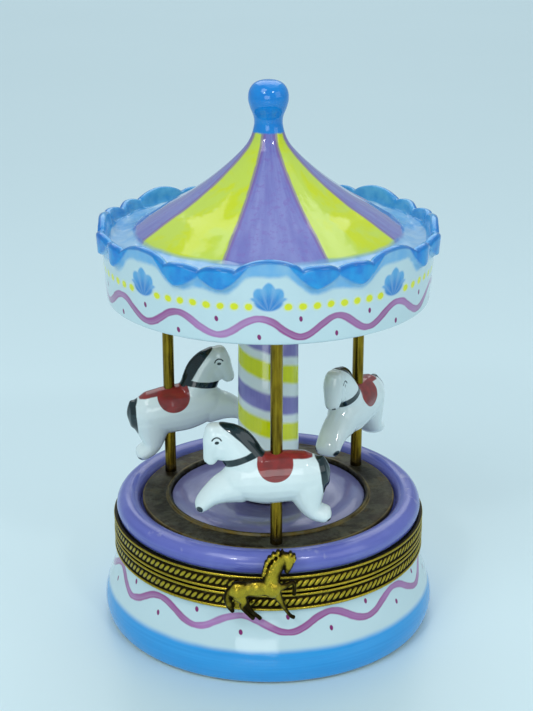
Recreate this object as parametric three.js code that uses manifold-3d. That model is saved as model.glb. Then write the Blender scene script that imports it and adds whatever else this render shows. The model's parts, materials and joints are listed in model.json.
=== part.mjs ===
// Carousel music box: a hinged porcelain box whose lid is a carousel that a wind-up movement turns.
// Millimetres, +Z up. The origin is the middle of the foot, at the height of the table. Front is -Y.
// Angles named "turn" are degrees about +Z, counted from the front (-Y) towards +X.

import * as THREE from 'three';
import { mergeVertices } from 'three/addons/utils/BufferGeometryUtils.js';
import Module from 'manifold-3d';

const wasm = await Module();
wasm.setup();

// ---- driving dimensions -------------------------------------------------------------------------

const GAP = 0.3; // between pieces that touch
const RUNNING = 0.2; // radial play of a shaft in its bearing
const ROUND = 40; // sides of the large turned pieces
const SMALL = 12; // sides of shafts, screws and poles

const FOOT_R = 39.8;
const BELLY_R = 40.7;
const BELLY_Z = 3.4;
const WAIST_R = 36.9; // where the bowl meets its rim
const WAIST_Z = 17.4;
const BOWL_TOP_Z = 21.3;
const BOWL_IN_R = 33.9;
const FLOOR_Z = 7.3; // top of the bowl's floor
const FLOOR_T = 1.7;

const RIM_R = 38;
const RIM_T = 1.3;
const RIM_LIP_R = 34.2;
const RIM_LIP_T = 0.4;
const LOWER_RIM_Z = [17.7, 22.0];
const UPPER_RIM_Z = [22.3, 26.5];

const DECK_UNDER_Z = 26.3;
const DECK_TOP_Z = 29.6;
const CHANNEL_Z = 28.5; // floor of the channel that the ring turns in
const CHANNEL_R = [23.6, 31.2];
const ROLL_R = 37.2; // widest part of the deck's rolled edge
const ROLL_TOP_Z = 31.2;

const RING_R = [24.0, 30.9];
const RING_Z = [28.8, 30.0];
const RING_LIP = 0.8;
const RING_LIP_Z = 30.6;

const POLE_CIRCLE_R = 27.8;
const POLE_R = 1.45;

const COLUMN_R = [7.5, 7.4]; // foot and top
const COLUMN_BORE_R = 5;
const COLUMN_TOP_Z = 86;

const CANOPY_Z = 81.3; // lower edge of the canopy
const CANOPY_R = [37.7, 38.9]; // lower edge and under the ruffle
const RUFFLE_R = 39.3;
const RUFFLE_Z = 98.6;
const RUFFLE_RISE = 1.3; // how far each arch stands above the dips between
const RUFFLES = 8;
const ROOF_R = 31;
const ROOF_Z = 97.2;
const KNOB_TOP_Z = 131.2;
const KNOB_R = 4.65;
const NECK_R = 3.15;

const PLATE_Z = [87, 88.2]; // plate inside the canopy that carries it
const PLATE_R = 34;
const SPINDLE_R = 1.5;
const SPINDLE_Z = [18.4, 92];

const HINGE_Y = 39.6;
const HINGE_Z = 22.15;
const KNUCKLE_R = 1.3;
const HINGE_HALF = 6;
const FRONT_Y = -(HINGE_Y + KNUCKLE_R); // the clasp stands as far out as the hinge

const BED_Z = [7.6, 8.6];
const BARREL_Z = [9, 12.2, 13.2]; // bottom, gear flange, top
const BARREL_R = 8.5;
const CROWN_R = [9.2, 11.5];
const CROWN_TEETH = 30;
const PINION_TEETH = 9;
const TOOTH_H = 0.8;
const AXLE_Z = 16.8; // height of the cylinder's axis
const CYLINDER_X = [-24.4, -13.4];
const CYLINDER_R = 4.2;
const END_GEAR_TEETH = 27;
const END_GEAR_R = 5.4;
const END_GEAR_X = [-28.7, -27.5];
const GOVERNOR_PINION_TEETH = 10;
const WORM_WHEEL_TEETH = 12;
const WORM_WHEEL_X = [-25, -24];
const WORM_WHEEL_R = 2.7;
const WORM_R = 0.85;
const DOG_SLOT = 2.4;
const DOG_BLADE = 1.2;
const DOG_Z = [14.3, 17.6];

// ---- materials ----------------------------------------------------------------------------------

const finishes = {
  white_porcelain: [0xe9eeee, 0.15, 0],
  painted_porcelain: [0x6f67b8, 0.15, 0],
  canopy_glaze: [0x3f95dc, 0.12, 0],
  column_glaze: [0xd9dc4a, 0.15, 0],
  aged_brass: [0x6d5a1c, 0.38, 1],
  pole_brass: [0x8a6f24, 0.3, 1],
  movement_brass: [0xb8953c, 0.35, 1],
  steel: [0x9a9ca0, 0.3, 1],
};

const root = new THREE.Group();

function addPiece(name, geometry, finish, parent = root) {
  const [color, roughness, metalness] = finishes[finish];
  const mesh = new THREE.Mesh(geometry, new THREE.MeshStandardMaterial({ color, roughness, metalness }));
  mesh.name = name;
  parent.add(mesh);
  return mesh;
}

// ---- solids -------------------------------------------------------------------------------------

function toManifold(geometry) {
  const bare = geometry.clone();
  bare.deleteAttribute('normal');
  bare.deleteAttribute('uv');
  const merged = mergeVertices(bare, 1e-4);
  return new wasm.Manifold(new wasm.Mesh({
    numProp: 3,
    vertProperties: new Float32Array(merged.attributes.position.array),
    triVerts: new Uint32Array(merged.index.array),
  }));
}

function toGeometry(manifold) {
  const mesh = manifold.getMesh();
  const geometry = new THREE.BufferGeometry();
  geometry.setAttribute('position', new THREE.BufferAttribute(new Float32Array(mesh.vertProperties), 3));
  geometry.setIndex(new THREE.BufferAttribute(new Uint32Array(mesh.triVerts), 1));
  return geometry;
}

const join = (geometries) => toGeometry(geometries.map(toManifold).reduce((all, one) => all.add(one)));

const cut = (geometry, tools) => toGeometry(
  tools.map(toManifold).reduce((rest, tool) => rest.subtract(tool), toManifold(geometry)),
);

// A solid turned about +Z from a closed outline of [radius, height] points, listed anticlockwise
// with the radius to the right and the height up.
function turned(outline, sides = ROUND) {
  const points = [...outline, outline[0]].map(([r, z]) => new THREE.Vector2(r, z));
  return new THREE.LatheGeometry(points, sides).rotateX(Math.PI / 2);
}

// A solid turned about +Z whose outline starts and ends on the axis.
function turnedSolid(outline, sides = SMALL) {
  const points = outline.map(([r, z]) => new THREE.Vector2(r, z));
  return new THREE.LatheGeometry(points, sides).rotateX(Math.PI / 2);
}

const rod = (r, z0, z1, sides = SMALL) => turnedSolid([[0, z0], [r, z0], [r, z1], [0, z1]], sides);

const tube = (rIn, rOut, z0, z1, sides = SMALL) => turned(
  [[rIn, z0], [rOut, z0], [rOut, z1], [rIn, z1]], sides,
);

const block = (x0, x1, y0, y1, z0, z1) => new THREE.BoxGeometry(x1 - x0, y1 - y0, z1 - z0)
  .translate((x0 + x1) / 2, (y0 + y1) / 2, (z0 + z1) / 2);

// Stands a solid that was built along +Z on the X axis instead, pointing to +X.
const alongX = (geometry) => geometry.rotateY(Math.PI / 2);

// A flat plate from a list of [x, y] corners, with round holes [x, y, r], from z0 to z1.
function plate(corners, holes, z0, z1) {
  const shape = new THREE.Shape(corners.map(([x, y]) => new THREE.Vector2(x, y)));
  for (const [x, y, r] of holes) {
    const hole = new THREE.Path();
    hole.absarc(x, y, r, 0, 2 * Math.PI, true);
    shape.holes.push(hole);
  }
  return new THREE.ExtrudeGeometry(shape, { depth: z1 - z0, bevelEnabled: false, curveSegments: 5 })
    .translate(0, 0, z0);
}

// An upright plate in the YZ plane, from a list of [y, z] corners, from x0 to x1.
const uprightPlate = (corners, holes, x0, x1) => plate(corners, holes, x0, x1)
  .applyMatrix4(new THREE.Matrix4().makeBasis(
    new THREE.Vector3(0, 1, 0), new THREE.Vector3(0, 0, 1), new THREE.Vector3(1, 0, 0),
  ));

// A spur gear on the Z axis: a toothed outline with one tooth centred at the given angle.
function spurGear(teeth, rootR, tipR, toothW, z0, z1, angle = 0, boreR = 0) {
  const outline = [];
  for (let i = 0; i < teeth; i += 1) {
    const middle = angle + (2 * Math.PI * i) / teeth;
    const corners = [[rootR, -1.4], [tipR, -0.8], [tipR, 0.8], [rootR, 1.4]];
    for (const [r, side] of corners) {
      const a = middle + (side * toothW) / 2 / r;
      outline.push([r * Math.cos(a), r * Math.sin(a)]);
    }
  }
  return plate(outline, boreR ? [[0, 0, boreR]] : [], z0, z1);
}

// A tapered limb along a path of [x, y, z, radius] stations, with blunt points at both ends.
function limb(stations, sides = 7) {
  const path = stations.map(([x, y, z]) => new THREE.Vector3(x, y, z));
  const last = stations.length - 1;
  const geometry = new THREE.CylinderGeometry(1, 1, 1, sides, last);
  const place = geometry.attributes.position;
  for (let i = 0; i < place.count; i += 1) {
    const k = Math.round((0.5 - place.getY(i)) * last);
    const along = path[Math.min(k + 1, last)].clone().sub(path[Math.max(k - 1, 0)]).normalize();
    const across = new THREE.Vector3(0, 1, 0).projectOnPlane(along).normalize();
    const third = along.clone().cross(across);
    const r = stations[k][3];
    const onAxis = Math.hypot(place.getX(i), place.getZ(i)) < 0.5;
    const point = path[k].clone()
      .addScaledVector(across, place.getX(i) * r)
      .addScaledVector(third, place.getZ(i) * r)
      .addScaledVector(along, onAxis ? 0.7 * r * (k === 0 ? -1 : 1) : 0);
    place.setXYZ(i, point.x, point.y, point.z);
  }
  return geometry;
}

const polar = (r, turn) => {
  const a = THREE.MathUtils.degToRad(turn);
  return [r * Math.sin(a), -r * Math.cos(a)];
};

// ---- base: bowl, rim, hinge, catch --------------------------------------------------------------

const SCREWS = [[11, -9], [11, 9], [-27, 0]]; // hold the movement to the bowl's floor
const SCREW_R = 0.8;
const ARBOR_R = 1.6;

function bowl() {
  const under = FLOOR_Z - FLOOR_T;
  const body = turned([
    [ARBOR_R + GAP, under], [35.8, under], [36.6, 0], [FOOT_R - 0.8, 0], [FOOT_R, 0.6],
    [BELLY_R, BELLY_Z], [39.4, 8], [37.9, 13.5], [WAIST_R, WAIST_Z],
    [RIM_R - RIM_T - GAP, WAIST_Z + 0.2], [RIM_R - RIM_T - GAP, BOWL_TOP_Z], [BOWL_IN_R, BOWL_TOP_Z],
    [BOWL_IN_R, 17], [35.6, 9], [34.5, FLOOR_Z], [ARBOR_R + GAP, FLOOR_Z],
  ]);
  return cut(body, SCREWS.map(([x, y]) => rod(SCREW_R + GAP, under - 1, FLOOR_Z + 1, 8).translate(x, y, 0)));
}

// The rims are mirror images: each has a band outside and a lip over the porcelain's edge.
function rim([z0, z1], lipAtTop) {
  const inR = RIM_R - RIM_T;
  return turned(lipAtTop
    ? [[RIM_LIP_R, z1 - RIM_LIP_T], [inR, z1 - RIM_LIP_T], [inR, z0],
      [RIM_R, z0], [RIM_R, z1], [RIM_LIP_R, z1]]
    : [[RIM_LIP_R, z0], [RIM_R, z0], [RIM_R, z1],
      [inR, z1], [inR, z0 + RIM_LIP_T], [RIM_LIP_R, z0 + RIM_LIP_T]]);
}

const LEAF_Y = [RIM_R + GAP, RIM_R + GAP + 0.8];
const KNUCKLE_END = 2.05; // half the length of the middle knuckle, with half a gap
const PIN_R = 0.5;

function knuckle(x0, x1) {
  return alongX(tube(PIN_R + RUNNING, KNUCKLE_R, x0, x1)).translate(0, HINGE_Y, HINGE_Z);
}

function hingeLeaf(knuckles, z0, z1) {
  const boss = knuckles.map(([x0, x1]) => block(x0, x1, LEAF_Y[0], LEAF_Y[1], z0, z1));
  const rows = z1 < HINGE_Z ? [z0, z1 - KNUCKLE_R] : [z0 + KNUCKLE_R, z1];
  const leaf = join([block(-HINGE_HALF, HINGE_HALF, LEAF_Y[0], LEAF_Y[1], ...rows), ...boss]);
  const room = alongX(rod(PIN_R + RUNNING, -HINGE_HALF - 1, HINGE_HALF + 1)).translate(0, HINGE_Y, HINGE_Z);
  return cut(join([leaf, ...knuckles.map(([x0, x1]) => knuckle(x0, x1))]), [room]);
}

function buildBase() {
  const base = new THREE.Group();
  root.add(base);
  addPiece('base_bowl', bowl(), 'white_porcelain', base);
  addPiece('base_rim', rim(LOWER_RIM_Z, true), 'aged_brass', base);
  const outer = [[-HINGE_HALF, -KNUCKLE_END - GAP / 2], [KNUCKLE_END + GAP / 2, HINGE_HALF]];
  addPiece('hinge_leaf_lower', hingeLeaf(outer, LOWER_RIM_Z[0] + GAP, HINGE_Z - 0.4), 'aged_brass', base);
  const pin = alongX(rod(PIN_R, -HINGE_HALF, HINGE_HALF)).translate(0, HINGE_Y, HINGE_Z);
  addPiece('hinge_pin', pin, 'aged_brass', base);
  addPiece('clasp_catch', block(-7.6, -5.6, -38.95, -37.9, 19.2, 21.4), 'aged_brass', base);
  SCREWS.forEach(([x, y], i) => {
    const head = FLOOR_Z - FLOOR_T - GAP;
    const screw = turnedSolid([
      [0, head - 1.2], [2, head - 1.2], [2, head], [SCREW_R, head],
      [SCREW_R, BED_Z[1] - 0.2], [0, BED_Z[1] - 0.2],
    ], 10).translate(x, y, 0);
    addPiece(`movement_screw_${i + 1}`, screw, 'steel', base);
  });
  return base;
}

// ---- movement: bedplate, comb, bearings ---------------------------------------------------------

const ON_BED = BED_Z[1] + GAP;
const COMB_X = [-24.2, -13.6];
const COMB_Y = [5.2, 10.2, 15.2]; // tips, roots and back
const COMB_Z = [16.4, 17.2];
const COMB_TEETH = 14;
const PINS = 14;
const COMB_SCREWS = [[-21.5, 12.9], [-16.3, 12.9]];
const GOVERNOR_Y = -7.4;
const FLY = [-24.5, GOVERNOR_Y - WORM_WHEEL_R - WORM_R - 0.15];

function comb() {
  const [x0, x1] = COMB_X;
  const pitch = (x1 - x0) / COMB_TEETH;
  const slit = 0.2;
  const corners = [[x1, COMB_Y[2]], [x0, COMB_Y[2]]];
  for (let i = 0; i < COMB_TEETH; i += 1) {
    const left = x0 + i * pitch;
    const right = left + pitch - (i < COMB_TEETH - 1 ? slit : 0);
    corners.push([left, COMB_Y[i === 0 ? 0 : 1]]);
    if (i > 0) corners.push([left, COMB_Y[0]]);
    corners.push([right, COMB_Y[0]]);
    if (i < COMB_TEETH - 1) corners.push([right, COMB_Y[1]]);
  }
  return plate(corners, COMB_SCREWS.map(([x, y]) => [x, y, SCREW_R + 0.1]), ...COMB_Z);
}

function buildMovement(base) {
  const bed = plate([
    [13.5, -13], [13.5, 13], [9, 15.5], [-27, 15.5], [-30.8, 12], [-30.8, -10], [-27, -16.6], [9, -16.6],
  ], [[0, 0, ARBOR_R + GAP], ...SCREWS.map(([x, y]) => [x, y, SCREW_R + GAP])], ...BED_Z);
  addPiece('bedplate', bed, 'movement_brass', base);
  addPiece('comb', comb(), 'steel', base);
  const [x0, x1] = COMB_X;
  addPiece('comb_block', plate(
    [[x0, COMB_Y[1] + 0.4], [x1, COMB_Y[1] + 0.4], [x1, COMB_Y[2]], [x0, COMB_Y[2]]],
    COMB_SCREWS.map(([x, y]) => [x, y, SCREW_R + 0.1]), ON_BED, COMB_Z[0] - GAP,
  ), 'movement_brass', base);
  COMB_SCREWS.forEach(([x, y], i) => {
    const head = COMB_Z[1] + GAP;
    addPiece(`comb_screw_${i + 1}`, turnedSolid([
      [0, head - 6], [0.6, head - 6], [0.6, head], [1.5, head], [1.5, head + 0.8], [0, head + 0.8],
    ], 10).translate(x, y, 0), 'steel', base);
  });
  const shaftHole = [0, AXLE_Z, 1];
  const governorHole = [GOVERNOR_Y, AXLE_Z, 0.8];
  addPiece('bearing_bracket_inner', uprightPlate(
    [[-2.6, ON_BED], [2.6, ON_BED], [2.6, 18.6], [-2.6, 18.6]], [shaftHole], -12.9, -12.1,
  ), 'movement_brass', base);
  addPiece('bearing_bracket_outer', uprightPlate(
    [[-10, ON_BED], [2.6, ON_BED], [2.6, 18.6], [-10, 18.6]], [shaftHole, governorHole], -31.2, -30.4,
  ), 'movement_brass', base);
  addPiece('governor_post', uprightPlate(
    [[-8.8, ON_BED], [-6, ON_BED], [-6, 18.2], [-8.8, 18.2]], [governorHole], -23.1, -22.4,
  ), 'movement_brass', base);
  addPiece('governor_bracket', uprightPlate([
    [-16.2, ON_BED], [-15.2, ON_BED], [-15.2, 11.6], [-10.2, 11.6], [-10.2, 12.3], [-15.2, 12.3],
    [-15.2, 22.5], [-10.2, 22.5], [-10.2, 23.2], [-16.2, 23.2],
  ], [], FLY[0] - 0.8, FLY[0] + 0.8), 'movement_brass', base);
}

// The spring barrel turns the carousel through the slot in its cover and the cylinder through the
// crown of teeth on its flange.
function buildBarrel() {
  const barrel = new THREE.Group();
  root.add(barrel);
  const [z0, flange, top] = BARREL_Z;
  const bore = ARBOR_R + GAP;
  const cup = turned([
    [bore, z0], [BARREL_R, z0], [BARREL_R, flange], [CROWN_R[1], flange], [CROWN_R[1], top],
    [BARREL_R - 0.4, top], [BARREL_R - 0.4, z0 + 0.8], [bore, z0 + 0.8],
  ], 30);
  const teeth = [];
  for (let i = 0; i < CROWN_TEETH; i += 1) {
    teeth.push(block(CROWN_R[0] + 0.1, CROWN_R[1] - 0.2, -0.35, 0.35, top - 0.2, top + TOOTH_H)
      .rotateZ((2 * Math.PI * (i + 0.5)) / CROWN_TEETH));
  }
  addPiece('spring_barrel', join([cup, ...teeth]), 'movement_brass', barrel);

  const turns = 3.5;
  const steps = 42;
  const edge = (offset) => Array.from({ length: steps + 1 }, (_, i) => {
    const a = (2 * Math.PI * turns * i) / steps;
    const r = 2.5 + (5 * i) / steps + offset;
    return [r * Math.cos(a), r * Math.sin(a)];
  });
  const strip = [...edge(0.17), ...edge(-0.17).reverse()];
  addPiece('mainspring', plate(strip, [], z0 + 1.1, flange), 'steel', barrel);

  const cover = turnedSolid([
    [0, flange + GAP], [BARREL_R - 0.7, flange + GAP], [BARREL_R - 0.7, top - 0.1], [4, top - 0.1],
    [4, DOG_Z[1]], [0, DOG_Z[1]],
  ], 24);
  const slot = block(-5, 5, -DOG_SLOT / 2, DOG_SLOT / 2, DOG_Z[0], DOG_Z[1] + 1);
  addPiece('barrel_cover', cut(cover, [slot]), 'movement_brass', barrel);
}

function buildKey() {
  const key = new THREE.Group();
  root.add(key);
  const wing = [0.7, 4.9];
  addPiece('winding_arbor', rod(ARBOR_R, 2, BARREL_Z[1]), 'steel', key);
  const disc = (x) => new THREE.CylinderGeometry(2.1, 2.1, 1.6, 16).translate(x, 0, (wing[0] + wing[1]) / 2);
  const web = [block(-7, 7, -0.8, 0.8, wing[0], wing[1] - 0.8), disc(-7), disc(7)];
  const hub = rod(3, wing[0], wing[1] + 0.3, 20);
  const hole = rod(ARBOR_R + GAP, 1.7, wing[1] + 1);
  addPiece('winding_key', cut(join([hub, ...web]), [hole]), 'movement_brass', key);
}

function buildCylinder() {
  const cylinder = new THREE.Group();
  cylinder.position.z = AXLE_Z;
  root.add(cylinder);
  const shaftR = 0.8;
  const bore = shaftR + GAP;
  const drum = alongX(tube(bore, CYLINDER_R, ...CYLINDER_X, 24));
  const pins = [];
  for (let i = 0; i < PINS; i += 1) {
    const x = COMB_X[0] + 0.3 + 0.757 * ((i * 5) % COMB_TEETH);
    pins.push(block(x - 0.15, x + 0.15, -0.15, 0.15, CYLINDER_R - 0.4, CYLINDER_R + 0.35)
      .rotateX(THREE.MathUtils.degToRad(i * 137.5)));
  }
  addPiece('pin_cylinder', join([drum, ...pins]), 'movement_brass', cylinder);
  addPiece('cylinder_arbor', alongX(rod(shaftR, -31.3, -8.9, 10)), 'steel', cylinder);
  // A tooth of the pinion points down into the crown.
  const pitchR = (10.3 * PINION_TEETH) / CROWN_TEETH;
  const pinion = spurGear(PINION_TEETH, pitchR - 0.55, pitchR + 0.35, 0.65, -11.3, -9.3, 0, bore);
  addPiece('cylinder_pinion', alongX(pinion), 'movement_brass', cylinder);
  // A gap of this gear faces the governor's pinion, which lies towards -Y.
  const half = Math.PI / END_GEAR_TEETH;
  const gear = spurGear(END_GEAR_TEETH, END_GEAR_R - 0.5, END_GEAR_R + 0.3, 0.45, ...END_GEAR_X,
    -Math.PI / 2 + half, bore);
  addPiece('end_gear', alongX(gear), 'movement_brass', cylinder);
}

function buildGovernor() {
  const wheel = new THREE.Group();
  wheel.position.set(0, GOVERNOR_Y, AXLE_Z);
  root.add(wheel);
  const pitchR = (END_GEAR_R * GOVERNOR_PINION_TEETH) / END_GEAR_TEETH;
  addPiece('governor_wheel', join([
    spurGear(GOVERNOR_PINION_TEETH, pitchR - 0.5, pitchR + 0.3, 0.45, ...END_GEAR_X, Math.PI / 2),
    spurGear(WORM_WHEEL_TEETH, WORM_WHEEL_R - 0.5, WORM_WHEEL_R, 0.5, ...WORM_WHEEL_X),
    rod(0.6, -30.9, -22.5, 10),
  ].map(alongX)), 'movement_brass', wheel);

  const fly = new THREE.Group();
  fly.position.set(...FLY, 0);
  root.add(fly);
  addPiece('governor_worm', turnedSolid([
    [0, 12.6], [0.4, 12.6], [0.4, 14.5], [WORM_R, 14.8], [WORM_R, 19.2], [0.4, 19.5], [0.4, 22.2], [0, 22.2],
  ], 10), 'steel', fly);
  const blades = block(-3.2, 3.2, -0.25, 0.25, 20, 21.8);
  const hub = rod(1.4, 19.8, 22, 12);
  addPiece('governor_fan', cut(join([hub, blades]), [rod(0.7, 19, 23, 10)]), 'movement_brass', fly);
}

// ---- lid: deck, rim, column, clasp --------------------------------------------------------------

// Each station of the clasp horse is [x, z, radius]; its relief is as thick as CLASP_FLAT says.
const CLASP_LIMBS = [
  [[-8.2, 24.1, 2.2], [-4, 24.5, 1.9], [0, 24.9, 2.3], [0.6, 27, 2.1], [2, 30.4, 1.7], [3.4, 32.2, 1.5]],
  [[3.4, 32.2, 1.5], [5.2, 30.9, 1.2], [4.3, 28.6, 0.8]],
  [[1.2, 25, 1.6], [5.4, 26.2, 0.8], [5.5, 23.4, 0.6]],
  [[0.6, 23.8, 1.5], [3.4, 20.6, 0.8], [5.1, 17.7, 0.7]],
  [[-8, 23.4, 1.9], [-6.4, 20.3, 1], [-4.4, 17.7, 0.7]],
  [[-6.6, 23, 1.6], [-4.6, 20.2, 0.9], [-2.4, 17.7, 0.7]],
  [[-9.6, 24, 1.2], [-10.2, 21, 0.9], [-9, 19.3, 0.6]],
];
const CLASP_Y = -40.1;
const CLASP_FLAT = (CLASP_Y - FRONT_Y) / 2.3; // so that the thickest limb reaches FRONT_Y

function claspHorse() {
  const figure = join(CLASP_LIMBS.map((stations) => limb(stations.map(([x, z, r]) => [x, 0, z, r]))));
  figure.scale(1, CLASP_FLAT, 1).translate(0, CLASP_Y, 0);
  return join([figure, block(-6, 1, CLASP_Y, -RIM_R - GAP, 22.9, 26)]);
}

function buildLid() {
  const lid = new THREE.Group();
  root.add(lid);
  const wall = [RIM_R - RIM_T - GAP, UPPER_RIM_Z[0] + 0.7];
  const [channelIn, channelOut] = CHANNEL_R;
  addPiece('lid_deck', turned([
    [COLUMN_BORE_R, DECK_UNDER_Z], [32.8, DECK_UNDER_Z], [RIM_LIP_R, 25.2], [RIM_LIP_R, wall[1]], wall,
    [wall[0], 26.6], [37, 26.8], [ROLL_R, 28.4], [36.3, 30.2], [34, ROLL_TOP_Z],
    [31.9, 30.2], [channelOut, CHANNEL_Z], [channelIn, CHANNEL_Z], [channelIn, DECK_TOP_Z],
    [COLUMN_BORE_R, DECK_TOP_Z],
  ]), 'painted_porcelain', lid);
  addPiece('lid_rim', rim(UPPER_RIM_Z, false), 'aged_brass', lid);
  const middle = [[-KNUCKLE_END + GAP / 2, KNUCKLE_END - GAP / 2]];
  addPiece('hinge_leaf_upper', hingeLeaf(middle, HINGE_Z + 0.4, UPPER_RIM_Z[1] - GAP), 'aged_brass', lid);
  addPiece('clasp_horse', claspHorse(), 'aged_brass', lid);
  const bore = SPINDLE_R + RUNNING;
  const bushR = COLUMN_BORE_R - GAP;
  const flange = DECK_UNDER_Z - GAP;
  addPiece('spindle_bush_lower', turned([
    [bore, flange - 1], [8, flange - 1], [8, flange], [bushR, flange], [bushR, 34], [bore, 34],
  ], 24), 'movement_brass', lid);
  addPiece('spindle_bush_upper', turned([
    [bore, 80], [bushR, 80], [bushR, COLUMN_TOP_Z + GAP], [6.8, COLUMN_TOP_Z + GAP],
    [6.8, PLATE_Z[0] - GAP], [bore, PLATE_Z[0] - GAP],
  ], 24), 'movement_brass', lid);
  addPiece('centre_column', turned([
    [COLUMN_BORE_R, DECK_TOP_Z + GAP], [COLUMN_R[0], DECK_TOP_Z + GAP], [COLUMN_R[1], COLUMN_TOP_Z],
    [COLUMN_BORE_R, COLUMN_TOP_Z],
  ], 32), 'column_glaze', lid);
}

// ---- carousel: ring, poles, horses, canopy, spindle ---------------------------------------------

const HORSE_Z = 46.7; // middle of each horse's body
// Turn of each horse's pole, its heading anticlockwise from +X, its nose-up pitch, and how far it sits
// ahead of the pole. The figures are set by hand, so no two stand alike.
const HORSES = [
  { name: 'front', turn: 3.7, heading: 180, pitch: 0, ahead: 0 },
  { name: 'right', turn: 126, heading: -118, pitch: 2, ahead: 0 },
  { name: 'left', turn: 243, heading: 10, pitch: 13, ahead: 1.5 },
];

// A leaping horse that faces +X, with the pole through the origin.
function horse() {
  const body = new THREE.SphereGeometry(1, 10, 8).scale(11, 4.3, 6.3).translate(-0.5, 0, -0.1);
  const legs = [-1.4, 1.4].flatMap((y) => [
    limb([[7.5, y, -1.4, 3.8], [13, y, -3.4, 3], [16, y, -5.6, 2.2], [17.4, y, -7.8, 1.4]]),
    limb([[-6.6, y, -1.6, 4], [-7.9, y, -6.6, 2.9], [-11.8, y, -9.2, 1.8]]),
  ]);
  const neck = limb([[5, 0, 1.5, 4.3], [8.6, 0, 6, 4], [12.4, 0, 10.3, 3]]);
  const head = limb([[13.8, 0, 12.6, 1.8], [13.9, 0, 9, 2.6], [14.6, 0, 5.8, 2.1], [15, 0, 3, 1.4]]);
  const mane = limb([[3.8, 0, 5.6, 1], [7.6, 0, 9.8, 1.7], [12, 0, 12, 1.2]], 6);
  const tail = limb([[-10, 0, 4, 1.1], [-11.4, 0, 0.8, 1.1], [-11, 0, -2.8, 0.5]], 6);
  return join([body, neck, head, mane, ...legs, tail]);
}

function canopy() {
  const ledge = PLATE_Z[1] + GAP;
  const inner = [
    [0, 103], [6, 102.6], [31, 94], [32, ledge], [PLATE_R + 0.6, ledge], [PLATE_R + 0.9, CANOPY_Z],
  ];
  const outer = [
    [CANOPY_R[0], CANOPY_Z], [CANOPY_R[1] - 0.2, 93], [RUFFLE_R, 96.6],
    [38.8, RUFFLE_Z], [37.6, RUFFLE_Z - 0.1], [34.6, 96.6], [ROOF_R, ROOF_Z],
  ];
  const roof = [[17.5, 105.6], [10.2, 111.2], [5.6, 115.7], [3.7, 118.8], [NECK_R, 121.8]];
  const knob = [[4.3, 125], [KNOB_R, 127], [3.7, 129.8], [0, KNOB_TOP_Z]];
  const solid = turnedSolid([...inner, ...outer, ...roof, ...knob], ROUND);
  const place = solid.attributes.position;
  for (let i = 0; i < place.count; i += 1) {
    const [x, y, z] = [place.getX(i), place.getY(i), place.getZ(i)];
    const onRuffle = Math.hypot(x, y) > 37 && z > 97.9;
    if (onRuffle) place.setZ(i, z + RUFFLE_RISE * (0.5 + 0.5 * Math.cos(RUFFLES * Math.atan2(x, -y))));
  }
  return solid;
}

// The hole is six-sided too, so it is opened until its flats clear the thread.
const hexNut = (boreR, acrossR, z0, z1) => tube(boreR / Math.cos(Math.PI / 6), acrossR, z0, z1, 6);

function buildCarousel() {
  const carousel = new THREE.Group();
  root.add(carousel);
  const places = HORSES.map(({ turn }) => polar(POLE_CIRCLE_R, turn));
  const poleHoles = places.map(([x, y]) => rod(POLE_R + GAP, 0, 100).translate(x, y, 0));
  const lipR = RING_R[0] + RING_LIP;
  addPiece('platform_ring', cut(turned([
    [RING_R[0], RING_Z[0]], [RING_R[1], RING_Z[0]], [RING_R[1], RING_Z[1]], [lipR, RING_Z[1]],
    [lipR, RING_LIP_Z], [RING_R[0], RING_LIP_Z],
  ]), poleHoles), 'aged_brass', carousel);
  addPiece('canopy', canopy(), 'canopy_glaze', carousel);
  const spindleHole = rod(SPINDLE_R + GAP, 0, 100);
  addPiece('canopy_plate', cut(turnedSolid(
    [[0, PLATE_Z[0]], [PLATE_R, PLATE_Z[0]], [PLATE_R, PLATE_Z[1]], [0, PLATE_Z[1]]], ROUND,
  ), [spindleHole, ...poleHoles]), 'movement_brass', carousel);
  const onPlate = PLATE_Z[1] + GAP;
  HORSES.forEach(({ name, heading, pitch, ahead }, i) => {
    const [x, y] = places[i];
    const pole = rod(POLE_R, RING_Z[0] + 0.1, onPlate + 2.2);
    addPiece(`pole_${name}`, pole.translate(x, y, 0), 'pole_brass', carousel);
    addPiece(`pole_nut_${name}`, hexNut(POLE_R + RUNNING, 2.7, onPlate, onPlate + 1.6).translate(x, y, 0),
      'movement_brass', carousel);
    const figure = horse()
      .translate(ahead, 0, 0)
      .rotateY(-THREE.MathUtils.degToRad(pitch))
      .rotateZ(THREE.MathUtils.degToRad(heading))
      .translate(x, y, HORSE_Z);
    addPiece(`horse_${name}`, cut(figure, [poleHoles[i]]), 'white_porcelain', carousel);
  });
  addPiece('spindle', rod(SPINDLE_R, ...SPINDLE_Z), 'steel', carousel);
  addPiece('spindle_nut', hexNut(SPINDLE_R + RUNNING, 3, onPlate, onPlate + 2), 'movement_brass', carousel);
  const collar = rod(2.8, DOG_Z[1] + GAP, 20.6, 20);
  const blade = block(-2.7, 2.7, -DOG_BLADE / 2, DOG_BLADE / 2, DOG_Z[0] + 0.6, DOG_Z[1] + 0.5);
  const socket = rod(SPINDLE_R + GAP, SPINDLE_Z[0] - 0.2, 22);
  addPiece('driven_dog', cut(join([collar, blade]), [socket]), 'steel', carousel);
}

const base = buildBase();
buildMovement(base);
buildBarrel();
buildKey();
buildCylinder();
buildGovernor();
buildLid();
buildCarousel();

export default root;
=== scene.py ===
"""Looks of the carousel music box: painted porcelain, aged brass rims, ring, poles and clasp.

Lengths are millimetres in the object's frame until a mesh is made. Angles called "turn" are degrees
about +Z, counted from the front (-Y) towards +X.
"""
import json
import math

import bmesh
import bpy
from mathutils import Matrix, Vector


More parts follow.
